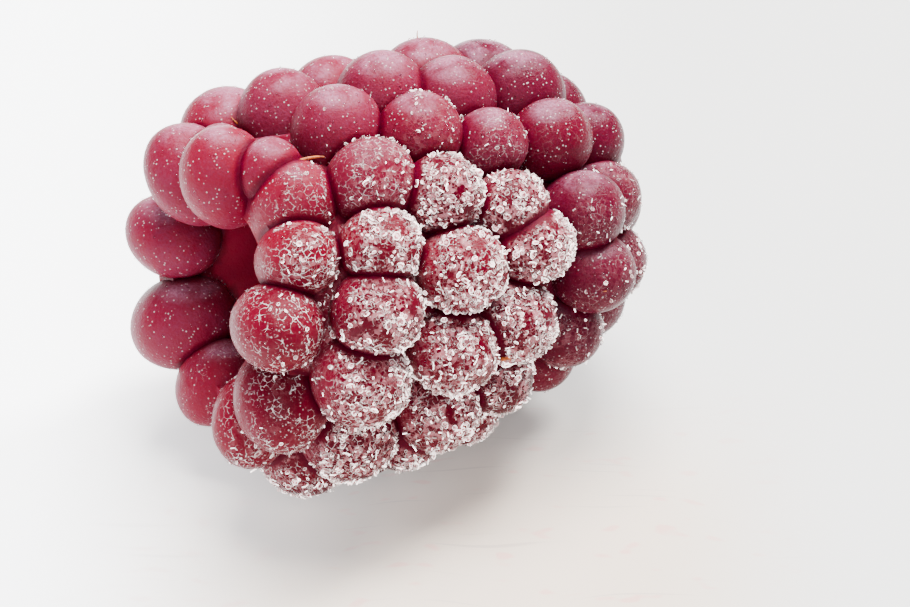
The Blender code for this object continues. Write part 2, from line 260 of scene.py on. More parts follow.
class Growth(Tree):
    """A Geometry Nodes tree with named inputs, which turns a host mesh into a new one."""

    KINDS = {
        float: "NodeSocketFloat",
        int: "NodeSocketInt",
        bpy.types.Material: "NodeSocketMaterial",
        bpy.types.Object: "NodeSocketObject",
    }

    def __init__(self, name: str, sizes: dict[str, Any]) -> None:
        """Start a tree.

        Args:
            name: The tree's name.
            sizes: Its named inputs and their values.
        """
        group = bpy.data.node_groups.new(name, "GeometryNodeTree")
        super().__init__(group)
        for way in ("OUTPUT", "INPUT"):
            group.interface.new_socket("Geometry", in_out=way, socket_type="NodeSocketGeometry")
        self.sizes = sizes
        self.identifiers: dict[str, str] = {}
        for size, value in sizes.items():
            kind = next(kind for known, kind in self.KINDS.items() if isinstance(value, known))
            made = group.interface.new_socket(size, in_out="INPUT", socket_type=kind)
            self.identifiers[size] = made.identifier
        self.entry = group.nodes.new("NodeGroupInput")

    @property
    def host(self) -> bpy.types.NodeSocket:
        """The host mesh."""
        return self.entry.outputs["Geometry"]

    def size(self, name: str) -> Signal:
        """A named input of the tree."""
        return Signal(self, self.entry.outputs[name])

    def step(
        self, kind: str, inputs: Optional[Inputs] = None, output: Union[str, int] = 0, **settings: Any
    ) -> bpy.types.NodeSocket:
        """One output of a new geometry node, whose type is given without its prefix."""
        return self.out("GeometryNode" + kind, inputs, output, **settings)

    def carried(self, name: str, kind: str = "FLOAT") -> Signal:
        """An attribute that the host mesh carries, by its name and data type."""
        return self.value("GeometryNodeInputNamedAttribute", {"Name": name}, "Attribute", data_type=kind)

    def planted(self, instance: bpy.types.NodeSocket) -> bpy.types.NodeSocket:
        """An instance at each of the host's points, with the turn and the size that the point carries."""
        turn, size = self.carried("turn", "QUATERNION"), self.carried("size", "FLOAT_VECTOR")
        inputs = {"Points": self.host, "Instance": instance, "Rotation": turn, "Scale": size}
        return self.step("InstanceOnPoints", inputs)

    def marked(
        self, geometry: bpy.types.NodeSocket, name: str, value: Value, domain: str
    ) -> bpy.types.NodeSocket:
        """A geometry that also carries a number, on its points or its instances."""
        inputs = {"Geometry": geometry, "Name": name, "Value": value}
        return self.step("StoreNamedAttribute", inputs, data_type="FLOAT", domain=domain)

    def chance(self, low: Value, high: Value, seed: Value) -> Signal:
        """A seeded random number for each point, between two limits."""
        inputs = {"Min": low, "Max": high, "Seed": seed}
        return self.value("FunctionNodeRandomValue", inputs, "Value", data_type="FLOAT")

    def close(self, geometry: bpy.types.NodeSocket, material: Value) -> None:
        """End the tree: real meshes in one material."""
        real = self.step("RealizeInstances", {"Geometry": geometry})
        dressed = self.step("SetMaterial", {"Geometry": real, "Material": material})
        self.node("NodeGroupOutput", {"Geometry": dressed})

    def grow(self, name: str, host: bpy.types.Object) -> bpy.types.Mesh:
        """Run the tree on a host.

        Args:
            name: The new mesh's name.
            host: The object whose mesh the tree reads.

        Returns:
            The result as a plain mesh. The host is left as it was.
        """
        change = host.modifiers.new(name, "NODES")
        change.node_group = self.nodes
        for size, value in self.sizes.items():
            change[self.identifiers[size]] = value
        host.update_tag()
        shown = host.evaluated_get(bpy.context.evaluated_depsgraph_get())
        made = bpy.data.meshes.new_from_object(shown)
        host.modifiers.remove(change)
        made.name = name
        return made


# Small tools for meshes

def rows_of(items: Sequence[Any], key: str) -> np.ndarray:
    """One row of three numbers for each item, such as the points of a mesh or their normals."""
    flat = np.empty(len(items) * 3, np.float32)
    items.foreach_get(key, flat)
    return flat.reshape(-1, 3).astype(float)


def carry(mesh: bpy.types.Mesh, name: str, values: np.ndarray) -> None:
    """Store one number for each of a mesh's points, under a name."""
    layer = mesh.attributes.get(name) or mesh.attributes.new(name, "FLOAT", "POINT")
    layer.data.foreach_set("value", values.astype(np.float32))


def smooth_step(values: np.ndarray, low: float, high: float) -> np.ndarray:
    """A smooth step over an array, 0 at low and 1 at high."""
    share = np.clip((values - low) / (high - low), 0.0, 1.0)
    return share * share * (3.0 - 2.0 * share)


def mesh_from(name: str, shape: bmesh.types.BMesh) -> bpy.types.Mesh:
    """A mesh of a shape, which is freed."""
    mesh = bpy.data.meshes.new(name)
    shape.to_mesh(mesh)
    shape.free()
    return mesh


def add_piece(name: str, mesh: bpy.types.Mesh) -> bpy.types.Object:
    """Put a mesh in the scene as an object of the same name, at the origin."""
    mesh.name = name
    made = bpy.data.objects.new(name, mesh)
    bpy.context.scene.collection.objects.link(made)
    return made


def add_places(
    name: str, points: Sequence[Vector], turns: Sequence[Quaternion], sizes: Sequence[Sequence[float]]
) -> bpy.types.Object:
    """Add a point for each place, which carries a turn and a size for what will stand there."""
    mesh = bpy.data.meshes.new(name)
    mesh.from_pydata([tuple(point) for point in points], [], [])
    carried = (("turn", "QUATERNION", "value", turns), ("size", "FLOAT_VECTOR", "vector", sizes))
    for key, kind, part, rows in carried:
        layer = mesh.attributes.new(key, kind, "POINT")
        layer.data.foreach_set(part, [number for row in rows for number in row])
    return add_piece(name, mesh)


def hand_over(piece: bpy.types.Object, nodes: Sequence[str] = ()) -> None:
    """Tell the frame about a piece.

    Args:
        piece: The piece, which rides on the berry's one body.
        nodes: The solids that it stands for, if any.
    """
    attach(piece, BODY)
    if nodes:
        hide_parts(*nodes)
    piece.data.calc_loop_triangles()
    LOG.info("%s: %d triangles", piece.name, len(piece.data.loop_triangles))


# How the berry grew

@dataclass(frozen=True)
class Ring:
    """A ring of drupelets, in millimetres and degrees.

    A station is measured along the axis from the mouth, and an angle round the axis from
    the side facing -Y, upwards.
    """

    station: float
    radius: float
    count: int
    start: float
    drift: float
    lean: float
    rise: float
    facing: float
    size: float


@dataclass(frozen=True)
class Filler:
    """A small drupelet in a gap between the rings, in millimetres and degrees."""

    station: float
    radius: float
    angle: float
    facing: float
    size: float


@dataclass(frozen=True)
class Shift:
    """How a drupelet sits off its ring's rule: millimetres, degrees and a share."""

    along: float = 0.0
    round: float = 0.0
    size: float = 1.0


@dataclass
class Drupelet:
    """One drupelet, as an egg with its own axes."""

    key: tuple[int, int]
    angle: float
    centre: Vector
    axes: Matrix
    half: Vector
    tone: float = 0.5
    ice: float = 0.0
    web: float = 0.0
    film: float = 0.0

    @property
    def ring(self) -> int:
        """The number of its ring, from the mouth, or the count of rings for a filler."""
        return self.key[0]


@dataclass
class BerryPlan:
    """Where every drupelet stands, by the same rule and the same draws as the solids."""

    seed: int = 41
    axis_height: float = 7.95 * MM
    tip_dip: float = math.radians(7.0)
    middle_station: float = 10.0 * MM
    rings: tuple[Ring, ...] = (
        Ring(1.5, 5.2, 11, 5.0, 0.0, 0.0, 0.0, -20.0, 1.74),
        Ring(4.4, 6.7, 14, -10.0, 0.0, 0.8, 0.0, -6.0, 1.74),
        Ring(7.8, 6.9, 14, -1.0, 4.0, 0.8, 0.0, 0.0, 1.76),
        Ring(11.2, 6.5, 14, -2.0, -8.0, 0.6, 0.1, 6.0, 1.72),
        Ring(14.5, 5.6, 12, -22.0, 0.0, 0.2, 0.5, 24.0, 1.72),
        Ring(17.1, 3.9, 9, -8.0, 0.0, 0.0, 0.8, 48.0, 1.68),
        Ring(18.6, 1.5, 4, 20.0, 0.0, 0.0, 0.8, 72.0, 1.55),
    )
    fillers: tuple[Filler, ...] = (
        Filler(2.3, 6.0, 82.0, -16.0, 1.35),
        Filler(2.2, 5.6, 119.0, -20.0, 1.20),
        Filler(2.9, 5.9, -67.0, -16.0, 1.15),
        Filler(5.4, 6.5, -78.0, -4.0, 1.20),
    )
    shifts: dict[tuple[int, int], Shift] = field(default_factory=lambda: {
        (0, 0): Shift(-0.7, 12.0, 1.06), (0, 1): Shift(0.6, 4.0, 0.95), (0, 2): Shift(1.5, -3.0, 1.0),
        (0, 3): Shift(-0.4, -6.0, 0.98), (0, 4): Shift(0.1, 1.0, 1.0), (0, 5): Shift(1.3, -9.0, 0.62),
        (0, 6): Shift(0.2, -20.0, 0.94), (0, 7): Shift(0.4, -12.0, 1.0), (0, 8): Shift(0.6, -11.0, 0.84),
        (0, 9): Shift(-0.1, 4.0, 0.86), (0, 10): Shift(-0.2, 3.0, 1.04), (1, 0): Shift(-0.4, 2.0, 1.12),
        (1, 1): Shift(-0.3, 2.0, 1.08), (1, 2): Shift(0.0, -3.0, 0.96), (1, 3): Shift(0.5, -3.0, 1.04),
        (1, 4): Shift(0.6, -4.0, 1.04), (1, 5): Shift(0.3, 2.0, 1.0), (1, 6): Shift(-0.7, -1.0, 1.04),
        (1, 7): Shift(-0.9, 0.0, 1.04), (1, 8): Shift(0.5, 0.0, 0.94), (1, 9): Shift(0.9, 0.0, 0.88),
        (1, 10): Shift(0.9, 0.0, 0.84), (1, 11): Shift(0.4, 0.0, 0.9), (1, 12): Shift(0.0, 0.0, 1.1),
        (1, 13): Shift(0.4, -5.0, 1.12), (2, 1): Shift(0.2, 2.0, 1.0), (2, 2): Shift(0.0, 2.0, 0.94),
        (2, 4): Shift(0.5, -1.0, 1.0), (2, 11): Shift(0.2, 4.0, 1.0), (2, 12): Shift(0.0, 3.0, 0.96),
        (2, 13): Shift(0.4, -3.0, 1.0), (3, 0): Shift(-0.4, 4.0, 1.08), (3, 1): Shift(0.4, 4.0, 1.0),
        (3, 2): Shift(-0.3, -5.0, 0.92), (3, 3): Shift(-0.3, -5.0, 0.86), (3, 5): Shift(0.3, 0.0, 1.08),
        (3, 6): Shift(0.4, 0.0, 1.08), (3, 10): Shift(0.0, 4.0, 1.0), (3, 11): Shift(0.1, 7.0, 1.0),
        (3, 12): Shift(-0.2, 6.0, 0.92), (3, 13): Shift(-0.3, 5.0, 0.92), (4, 0): Shift(0.2, 0.0, 0.9),
        (4, 1): Shift(0.7, -1.0, 1.0), (4, 2): Shift(0.4, -4.0, 1.0), (4, 4): Shift(0.2, 0.0, 1.08),
        (4, 5): Shift(0.4, -2.0, 1.16), (4, 6): Shift(0.2, -2.0, 1.08), (4, 9): Shift(-0.2, 4.0, 1.0),
        (4, 10): Shift(-0.3, 9.0, 0.94), (4, 11): Shift(-0.3, 10.0, 0.86),
    })
    loose_along: float = 0.18
    loose_round: float = 1.8
    loose_size: float = 0.04
    smallest_side: float = math.radians(30.0)
    far_growth: float = 0.11
    lobe_round: float = 0.98
    lobe_along: float = 1.04
    lobe_out: float = 1.06
    rim_lobe_out: float = 1.24

    @property
    def place(self) -> Matrix:
        """The matrix from the berry's own axes, mouth at the origin, to the world."""
        lift = Matrix.Translation((0.0, 0.0, self.axis_height))
        dip = Matrix.Rotation(self.tip_dip, 4, "Y")
        return lift @ dip @ Matrix.Translation((-self.middle_station, 0.0, 0.0))

    @staticmethod
    def round_the_axis(station: float, radius: float, angle: float) -> Vector:
        """A point at a station, a distance from the axis and an angle round it."""
        return Vector((station, -radius * math.cos(angle), radius * math.sin(angle)))

    def drupelet(
        self, key: tuple[int, int], centre: Vector, angle: float, facing: float, size: float, out: float
    ) -> Drupelet:
        """One drupelet in the world.

        Args:
            key: Its ring, from the mouth, and its number in it.
            centre: Its middle, in the berry's own axes.
            angle: Its angle round the berry's axis.
            facing: How far it leans from straight outwards towards the tip.
            size: Its size.
            out: Its half width straight out, against its size.

        Returns:
            The drupelet.
        """
        radial = self.round_the_axis(0.0, 1.0, angle)
        axis = Vector((1.0, 0.0, 0.0))
        outward = axis * math.sin(facing) + radial * math.cos(facing)
        along = axis * math.cos(facing) - radial * math.sin(facing)
        axes = Matrix((along.cross(outward), along, outward)).transposed()
        half = Vector((self.lobe_round, self.lobe_along, out)) * size
        return Drupelet(key, angle, self.place @ centre, self.place.to_3x3() @ axes, half)

    def ring_drupelet(self, ring: int, number: int, draw: random.Random) -> Drupelet:
        """One drupelet of a ring, where the ring's rule and its own shift put it.

        Args:
            ring: The number of its ring.
            number: Its number in the ring.
            draw: The berry's own random draws, taken in order.

        Returns:
            The drupelet.
        """
        rule = self.rings[ring]
        shift = self.shifts.get((ring, number), Shift())
        even = math.radians(rule.start + 360.0 * number / rule.count)
        drift = rule.drift * (1.0 - math.cos(even)) / 2.0
        turn = drift + shift.round + draw.uniform(-self.loose_round, self.loose_round)
        angle = even + math.radians(turn)
        lean = rule.lean * math.sin(angle)
        station = rule.station + lean + shift.along + draw.uniform(-self.loose_along, self.loose_along)
        growth = 1.0 + self.far_growth * (1.0 - math.cos(even - self.smallest_side)) / 2.0
        size = rule.size * shift.size * growth * (1.0 + draw.uniform(-self.loose_size, self.loose_size))
        rise = Vector((0.0, 0.0, rule.rise * MM))
        centre = self.round_the_axis(station * MM, rule.radius * MM, angle) + rise
        out = self.rim_lobe_out if ring == 0 else self.lobe_out
        return self.drupelet((ring, number), centre, angle, math.radians(rule.facing), size * MM, out)

    def filler_drupelet(self, number: int) -> Drupelet:
        """One of the small drupelets between the rings, by its number."""
        rule = self.fillers[number]
        angle = math.radians(rule.angle)
        centre = self.round_the_axis(rule.station * MM, rule.radius * MM, angle)
        facing = math.radians(rule.facing)
        return self.drupelet((len(self.rings), number), centre, angle, facing, rule.size * MM, self.lobe_out)

    def drupelets(self) -> list[Drupelet]:
        """Every drupelet, ring by ring, then the fillers."""
        draw = random.Random(self.seed)
        keys = [(ring, number) for ring, rule in enumerate(self.rings) for number in range(rule.count)]
        grown = [self.ring_drupelet(ring, number, draw) for ring, number in keys]
        return grown + [self.filler_drupelet(number) for number in range(len(self.fillers))]


@dataclass
class Weather:
    """How the cold lay on the berry: ice on one side, bloom on the rest.

    The angles are round the berry's axis from the side facing -Y, upwards, in degrees, and
    the ring shares run from the mouth's ring to the tip's, with the fillers last.
    """

    seed: int = 7
    ice_top: tuple[float, float] = (46.0, 82.0)
    ice_bottom: tuple[float, float] = (-120.0, -50.0)
    ice_by_ring: tuple[float, ...] = (0.42, 0.95, 0.95, 0.9, 0.37, 0.33, 0.3, 0.6)
    web_by_ring: tuple[float, ...] = (1.0, 0.8, 0.5, 0.4, 0.08, 0.05, 0.05, 0.5)
    light_ice: tuple[float, float] = (0.04, 0.2)
    odd_ice: dict[tuple[int, int], float] = field(default_factory=lambda: {
        (0, 2): 0.3, (0, 1): 0.5, (0, 0): 0.28, (0, 10): 0.32,
        (1, 3): 0.42, (1, 4): 0.26, (1, 1): 0.68, (1, 0): 0.82, (2, 3): 0.34, (3, 3): 0.3,
    })
    uneven_ice: float = 0.1
    film: tuple[float, float] = (0.6, 1.0)
    # Painted shade: the bloom thins and the red deepens towards the tip, so that the tip is darker; the rest
    # is random.
    film_by_ring: tuple[float, ...] = (1.0, 1.0, 0.9, 0.65, 0.28, 0.2, 0.2, 0.9)
    tip_shade_by_ring: tuple[float, ...] = (0.0, 0.1, 0.2, 0.35, 0.75, 0.9, 0.9, 0.1)

    def settle(self, drupelets: Sequence[Drupelet]) -> None:
        """Give each drupelet its ice, its bloom and a deeper or lighter red, by the rule and seeded draws;
        the red deepens towards the tip as painted shade.
        """
        draw = random.Random(self.seed)
        for one in drupelets:
            degrees = (math.degrees(one.angle) + 180.0) % 360.0 - 180.0
            low, high = self.ice_bottom, self.ice_top
            over = float(smooth_step(np.array(-degrees), -high[1], -high[0]))
            under = float(smooth_step(np.array(degrees), low[0], low[1]))
            side = over * under
            cold = side * self.ice_by_ring[one.ring] + draw.uniform(-self.uneven_ice, self.uneven_ice) * side
            cold = max(cold, draw.uniform(*self.light_ice))
            one.ice = min(1.0, self.odd_ice.get(one.key, cold))
            one.web = side * self.web_by_ring[one.ring]
            one.tone = min(1.0, 0.5 * draw.random() + self.tip_shade_by_ring[one.ring])
            one.film = draw.uniform(*self.film) * self.film_by_ring[one.ring]


# Finishes

@dataclass(frozen=True)
class FleshFinish:
    """Ripe skin under a dusty bloom and webbed with rime. Painted shade makes it deep red in the creases,
    darker under the ice and darker towards the tip, and a painted sheen lies on faces that look up.

    The shares say how much of a layer's colour shows where the layer is at its thickest.
    """

    crease_shade: Colour = (0.06, 0.0, 0.008)
    ripe: Colour = (0.16, 0.0, 0.011)
    # Deeper red, partly at random and partly painted shade towards the tip.
    dark: Colour = (0.05, 0.0, 0.007)
    # Dark red of the painted shade under the ice.
    cold: Colour = (0.035, 0.0, 0.004)
    bloom: Colour = (0.135, 0.013, 0.035)
    painted_sheen: Colour = (0.42, 0.2, 0.3)
    rime: Colour = (0.98, 0.86, 0.86)
    crust: Colour = (0.6, 0.24, 0.27)
    lining: Colour = (0.27, 0.009, 0.034)
    web_size: float = 0.3 * MM
    facet_size: float = 0.17 * MM
    patch_size: float = 0.9 * MM
    speck_size: float = 0.18 * MM
    grain_size: float = 0.11 * MM
    blotch_size: float = 1.1 * MM
    ice_shade_share: float = 0.6
    webbed_darkening_share: float = 0.45
    painted_sheen_share: float = 0.5
    seam_share: float = 0.28
    facet_share: float = 0.5
    web_share: float = 0.95
    dot_share: float = 0.36
    relief_depth: float = 0.05 * MM

    def material(self) -> bpy.types.Material:
        """Build the material."""
        shader = Shader("raspberry_flesh")
        crown, film, sky, ice, web_here = (
            shader.attribute(name) for name in ("crown", "film", "sky", "ice", "web")
        )
        lining = shader.attribute("lining")
        blotch = shader.noise(self.blotch_size, 3.0)
        grain = shader.noise(self.grain_size, 3.0, 0.6)
        # Deeper red partly at random, partly as painted shade towards the tip.
        skin = shader.mix(shader.attribute("tone"), self.ripe, self.dark)
        # Painted shade: the skin darkens under the ice, and webbed drupelets are darker too.
        deep = ice.rise(0.2, 0.9)
        ice_shade = self.ice_shade_share * deep + self.webbed_darkening_share * web_here * (1.0 - deep)
        skin = shader.mix(ice_shade, skin, self.cold)
        # Painted shade: the skin goes deep red towards each crease.
        skin = shader.mix(crown.rise(0.0, 0.7), self.crease_shade, skin)
        gritty = 0.6 + 0.6 * grain.rise(0.35, 0.65)
        dust = film * crown.rise(0.15, 0.9) * (0.55 + 0.45 * blotch.rise(0.3, 0.65)) * gritty
        skin = shader.mix(dust.clamped(), skin, self.bloom)
        # Painted sheen: pale light on the faces that look up.
        sheen_on_top = self.painted_sheen_share * sky * blotch.rise(0.25, 0.7) * gritty
        skin = shader.mix(sheen_on_top.clamped(), skin, self.painted_sheen)
        coarse = shader.cells(self.web_size, "DISTANCE_TO_EDGE", 0.9).rise(0.05, 0.015)
        fine = shader.cells(self.web_size * 0.6, "DISTANCE_TO_EDGE", 0.8).rise(0.07, 0.015)
        broken = shader.noise(0.3 * MM)
        web = (coarse * broken.rise(0.46, 0.52) + 0.8 * fine * broken.rise(0.4, 0.34)).clamped()
        specks = shader.cells(self.speck_size, "F1").rise(0.26, 0.12)
        patch = web_here * crown.rise(0.3, 0.8) * blotch.rise(0.42, 0.56)
        dots = specks * crown.rise(0.2, 0.6) * shader.noise(0.5 * MM).rise(0.42, 0.58)
        facets = shader.cells(self.facet_size, "F1", 0.5, "Color")
        seams = shader.cells(self.facet_size, "DISTANCE_TO_EDGE", 0.5).rise(0.12, 0.03)
        patches = shader.noise(self.patch_size).rise(0.36, 0.5)
        iced = ice.rise(0.2, 0.75) * crown.rise(0.25, 0.8) * patches
        frosted = iced * (self.seam_share * seams + self.facet_share * facets.rise(0.6, 0.85))
        skin = shader.mix(frosted.clamped(), skin, self.crust)
        rime = patch * self.web_share * web + self.dot_share * dots
        skin = shader.mix(rime.clamped(), skin, self.rime)
        skin = shader.mix(lining, skin, self.lining)
        height = 0.6 * grain + patch * web + 0.5 * dots + 0.6 * shader.noise(0.4 * MM)
        height = height + iced * (1.2 * facets + 0.8 * seams)
        rough = 0.5 - 0.25 * crown + 0.2 * dust + 0.2 * (rime + frosted)
        return shader.finish({
            "Base Color": skin,
            "Roughness": rough.clamped(),
            "Normal": shader.relief(height, self.relief_depth, 1.0),
            "Subsurface Weight": 0.2,
            "Subsurface Radius": (1.0, 0.12, 0.1),
            "Subsurface Scale": 0.9 * MM,
            "Specular IOR Level": 0.05,
        })


@dataclass(frozen=True)
class IceFinish:
    """Frosty ice: see-through in the middle of a face and white along its rim, the white partly a painted
    highlight of light caught at the edges; some crystals carry painted glints that give off light.
    """

    name: str = "frosty_ice"
    body: Colour = (0.36, 0.08, 0.11)
    pale: Colour = (0.85, 0.5, 0.51)
    edge: Colour = (1.0, 0.93, 0.9)
    clearness: float = 0.9
    painted_glint_strength: float = 5.0
    roughness: float = 0.08

    def material(self) -> bpy.types.Material:
        """Build the material."""
        shader = Shader(self.name)
        rim = shader.attribute("rim")
        glint = shader.attribute("glint")
        line = rim.rise(0.84, 0.98)
        frosting = shader.noise(0.1 * MM).rise(0.45, 0.62)
        face = shader.mix(frosting, self.body, self.pale)
        colour = shader.mix(line, face, self.edge)
        full = glint.rise(0.5, 0.8)
        outline = line * (0.45 + 0.55 * glint.rise(0.3, 0.7))
        clear = (1.0 - outline) * (1.0 - 0.35 * frosting) * (1.0 - 0.75 * full)
        cover = 0.95 - self.clearness * clear
        # Painted glints: some rims and frosted faces give off light, though they are no lamps.
        painted_glints = (0.2 * line + 0.5 * line * full + 0.25 * frosting * full) * glint.rise(0.35, 0.9)
        return shader.finish({
            "Base Color": colour,
            "Alpha": cover.clamped(),
            "Emission Color": shader.mix(painted_glints, (0.0, 0.0, 0.0), self.edge),
            "Emission Strength": self.painted_glint_strength,
            "Roughness": self.roughness + 0.2 * frosting,
            "IOR": 1.31,
            "Specular IOR Level": 1.0,
        })


@dataclass(frozen=True)
class BeadFinish:
    """Clear ice that bends the light, as the small beads between the plates do."""

    name: str = "clear_ice"
    body: Colour = (0.98, 0.93, 0.95)
    cover: float = 0.85
    roughness: float = 0.04

    def material(self) -> bpy.types.Material:
        """Build the material."""
        shader = Shader(self.name)
        frosting = shader.noise(0.12 * MM).rise(0.5, 0.7)
        return shader.finish({
            "Base Color": self.body,
            "Alpha": self.cover,
            "Roughness": self.roughness + 0.25 * frosting,
            "Transmission Weight": 1.0,
            "IOR": 1.31,
        })


@dataclass(frozen=True)
class StyleFinish:
    """A dried style: a brown hair, orange where the light comes through."""

    pale: Colour = (0.5, 0.11, 0.012)
    dark: Colour = (0.16, 0.03, 0.01)

    def material(self) -> bpy.types.Material:
        """Build the material."""
        shader = Shader("dried_style")
        streak = shader.noise(0.16 * MM, 3.0)
        colour = shader.mix(streak.rise(0.35, 0.65), self.pale, self.dark)
        height = shader.noise(0.05 * MM)
        return shader.finish({
            "Base Color": colour,
            "Roughness": 0.5 + 0.2 * streak,
            "Normal": shader.relief(height, 0.01 * MM, 0.6),
        })


@dataclass(frozen=True)
class FloorFinish:
    """A pale surface with faint scratches and a few faint stains of juice, with painted light: white on the
    left fading to grey on the right, light given off all over and most on the left, and a darker beige patch
    in front of the berry that is partly painted shadow.
    """

    white: Colour = (0.93, 0.95, 0.98)
    grey: Colour = (0.56, 0.565, 0.57)
    beige: Colour = (0.55, 0.46, 0.385)
    stain: Colour = (0.6, 0.2, 0.2)
    scratch: Colour = (0.25, 0.2, 0.19)
    dim_glow: Colour = (0.08, 0.075, 0.07)
    glare: float = 2.2
    stain_share: float = 0.4
    scratch_share: float = 0.35
    slant: float = 0.9
    across: Vector = field(default_factory=lambda: Vector((0.8526, -0.5225, 0.0)))
    nearer: Vector = field(default_factory=lambda: Vector((-0.5225, -0.8526, 0.0)))

    def material(self) -> bpy.types.Material:
        """Build the material."""
        shader = Shader("pale_floor")
        across = shader.along(self.across)
        nearer = shader.along(self.nearer) + 0.006 * (shader.noise(18.0 * MM) - 0.5)
        # Painted light: white on the left fading to grey on the right.
        tint_and_light = shader.mix(across.rise(-16.0 * MM, 14.0 * MM), self.white, self.grey)
        # A darker beige patch in front of the berry: partly the floor's own tint, partly painted shadow.
        beige_and_shadow = nearer.rise(-6.0 * MM, 9.0 * MM) * across.rise(-17.0 * MM, -4.0 * MM)
        beige_and_shadow = beige_and_shadow * nearer.rise(60.0 * MM, 25.0 * MM) * across.rise(19.0 * MM, 9.0 * MM)
        tint_and_light = shader.mix(beige_and_shadow, tint_and_light, self.beige)
        stains = shader.streaks(across, 1.6 * MM, nearer, 0.7 * MM).rise(0.63, 0.72) * beige_and_shadow
        tint_and_light = shader.mix(self.stain_share * stains, tint_and_light, self.stain)
        slanted = across - self.slant * nearer
        scratches = shader.streaks(slanted, 8.0 * MM, nearer, 0.3 * MM).rise(0.66, 0.74) * beige_and_shadow
        tint_and_light = shader.mix(self.scratch_share * scratches, tint_and_light, self.scratch)
        fine = shader.noise(0.5 * MM, 4.0, 0.65)
        return shader.finish({
            "Base Color": tint_and_light,
            "Roughness": 0.4 + 0.15 * fine,
            "Normal": shader.relief(fine, 0.01 * MM, 0.3),
            # Painted light: the floor gives off light, a little everywhere and most on the left.
            "Emission Color": shader.mix(across.rise(4.0 * MM, -20.0 * MM), self.dim_glow, self.white),
            "Emission Strength": self.glare,
        })


# The berry's flesh

